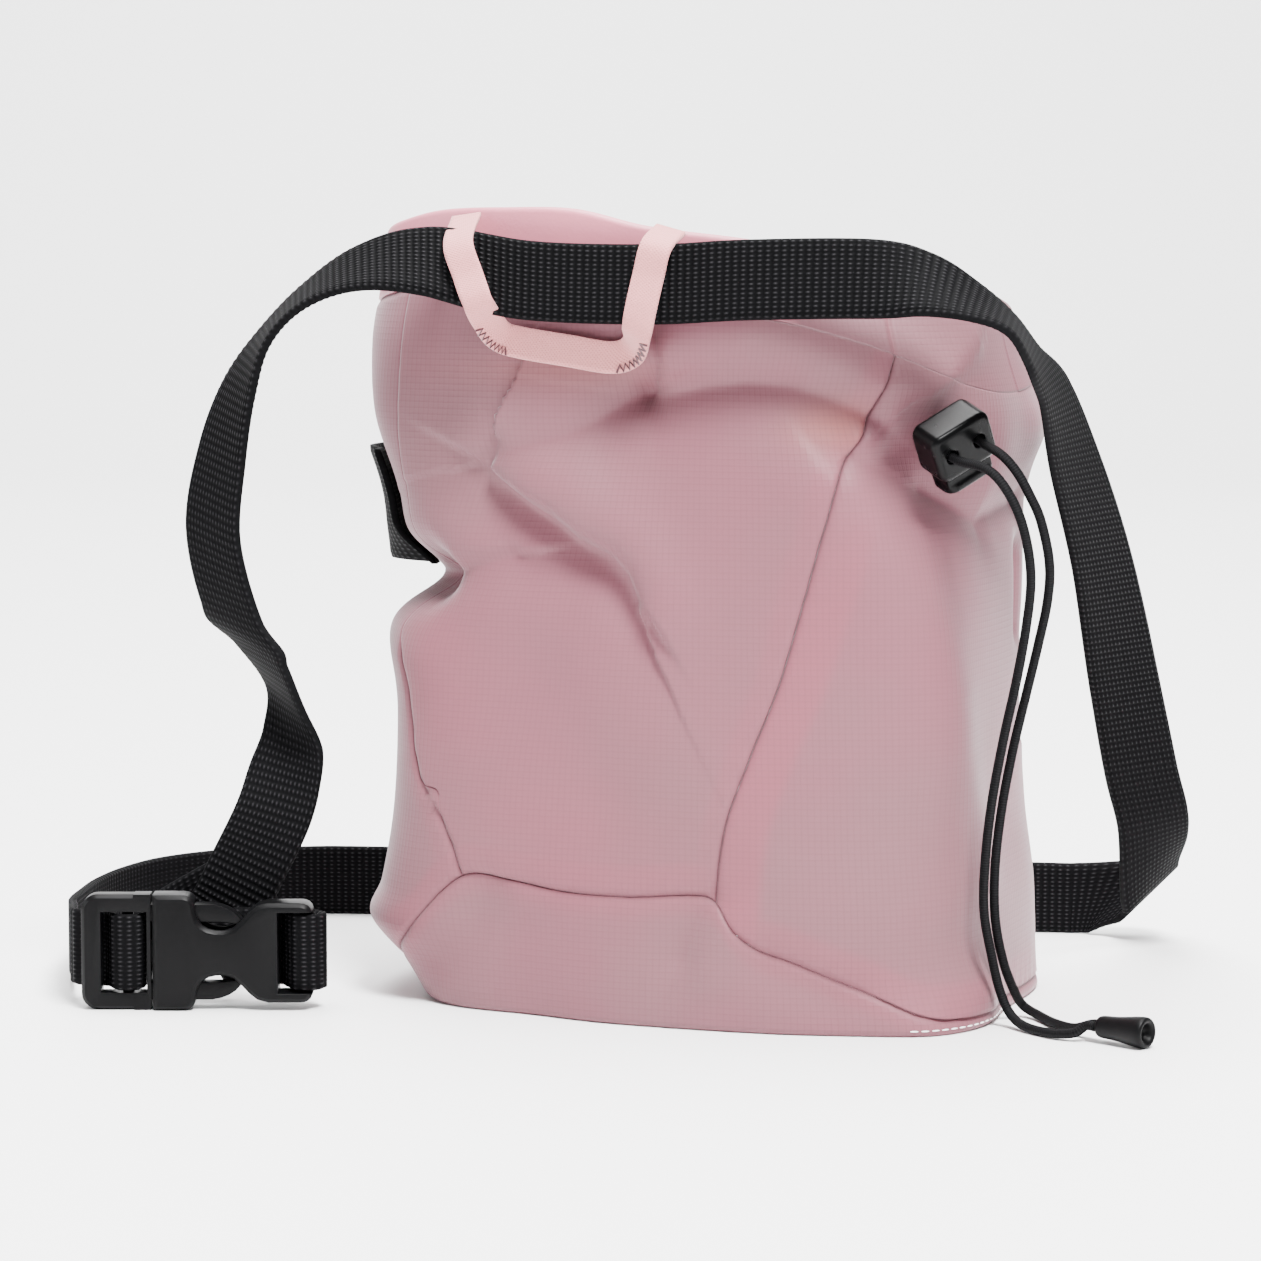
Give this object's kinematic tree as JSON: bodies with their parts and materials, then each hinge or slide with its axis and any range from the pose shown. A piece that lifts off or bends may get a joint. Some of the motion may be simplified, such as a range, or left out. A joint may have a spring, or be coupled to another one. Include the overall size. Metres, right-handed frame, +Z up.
{
  "type": "climbing chalk bag",
  "caption": "Soft tapered chalk bag with an open banded mouth, drawcord with lock, belt loop, brush loop and a webbing waist belt with a side-release buckle.",
  "frame": {"origin": "middle of the base, on the floor it stands on", "axes": "+Z up to the mouth, the front with the belt loop faces -Y, and +X to the right of one facing that front"},
  "size_m": [0.2583, 0.1732, 0.17],
  "materials": {
    "cloth": "matte ripstop",
    "rim": "smooth coated",
    "tape": "matte woven tape",
    "webbing": "matte woven webbing",
    "plastic": "satin",
    "cord": "matte braid"
  },
  "bodies": {
    "bag": {"front_panel": "cloth", "right_panel": "cloth", "left_panel": "cloth", "base_panel": "cloth", "rim_band": "rim", "belt_loop": "tape", "brush_loop": "webbing", "waist_belt": "webbing", "buckle_female": "plastic", "buckle_male": "plastic", "cord_lock_housing": "plastic", "drawcord_outer": "cord", "drawcord_inner": "cord", "cord_end": "plastic"},
    "plunger": {"cord_lock_plunger": "plastic"}
  },
  "joints": [
    {"name": "cord_lock_press", "type": "slide", "parent": "bag", "child": "plunger", "axis": [-0.0634, -0.5927, 0.8029], "range_m": [0, 0.0016], "stiffness_N_per_m": 15, "springref_m": -0.002}
  ]
}
